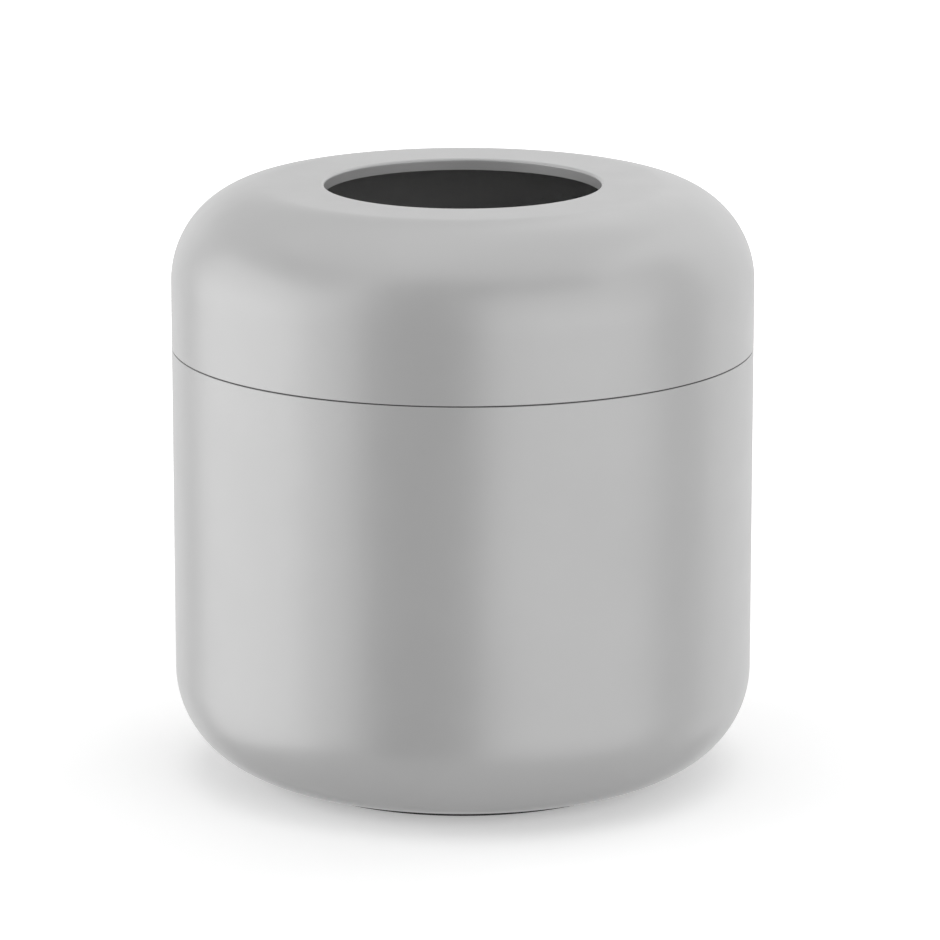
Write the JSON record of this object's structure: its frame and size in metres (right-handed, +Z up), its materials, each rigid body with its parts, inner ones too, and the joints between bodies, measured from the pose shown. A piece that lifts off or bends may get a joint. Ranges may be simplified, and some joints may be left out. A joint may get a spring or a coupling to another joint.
{
  "type": "wastepaper basket",
  "caption": "Round wastepaper basket with a rounded base edge and a flush lift-off lid with a round mouth; a bucket with a wire bail lifts out of it.",
  "frame": {"origin": "on the floor, at the middle of the base ring's underside", "axes": "+Z up along the basket's axis; +X along the pivot of the bail; the bail lies down towards -Y, which is the side that the picture's camera looks at"},
  "size_m": [0.25, 0.25, 0.257],
  "materials": {
    "shell_paint": "satin silver-grey metallic lacquer, inside and out",
    "collar_plastic": "fine moulded texture, dark grey",
    "bucket_plastic": "fine moulded texture, light grey",
    "bail_wire": "drawn wire, zinc plated",
    "base_rubber": "matt black, ribbed underneath"
  },
  "bodies": {
    "body": {"body_shell": "shell_paint", "base_ring": "base_rubber"},
    "bucket": {"inner_bucket": "bucket_plastic"},
    "bail": {"bail_handle": "bail_wire"},
    "lid": {"lid_shell": "shell_paint", "lid_collar": "collar_plastic"}
  },
  "joints": [
    {"name": "bucket_lift", "type": "slide", "parent": "body", "child": "bucket", "axis": [0, 0, 1], "range_m": [0, 0.19]},
    {"name": "lid_lift", "type": "slide", "parent": "bucket", "child": "lid", "axis": [0, 0, 1], "range_m": [0, 0.16]},
    {"name": "bail_swing", "type": "hinge", "parent": "bucket", "child": "bail", "pos_m": [0, 0, 0.1691], "axis": [-1, 0, 0], "range_deg": [0, 90]}
  ],
  "couplings": [
    {"joint": "bail_swing", "follows": "lid_lift", "rad_per_m": 9.8}
  ]
}
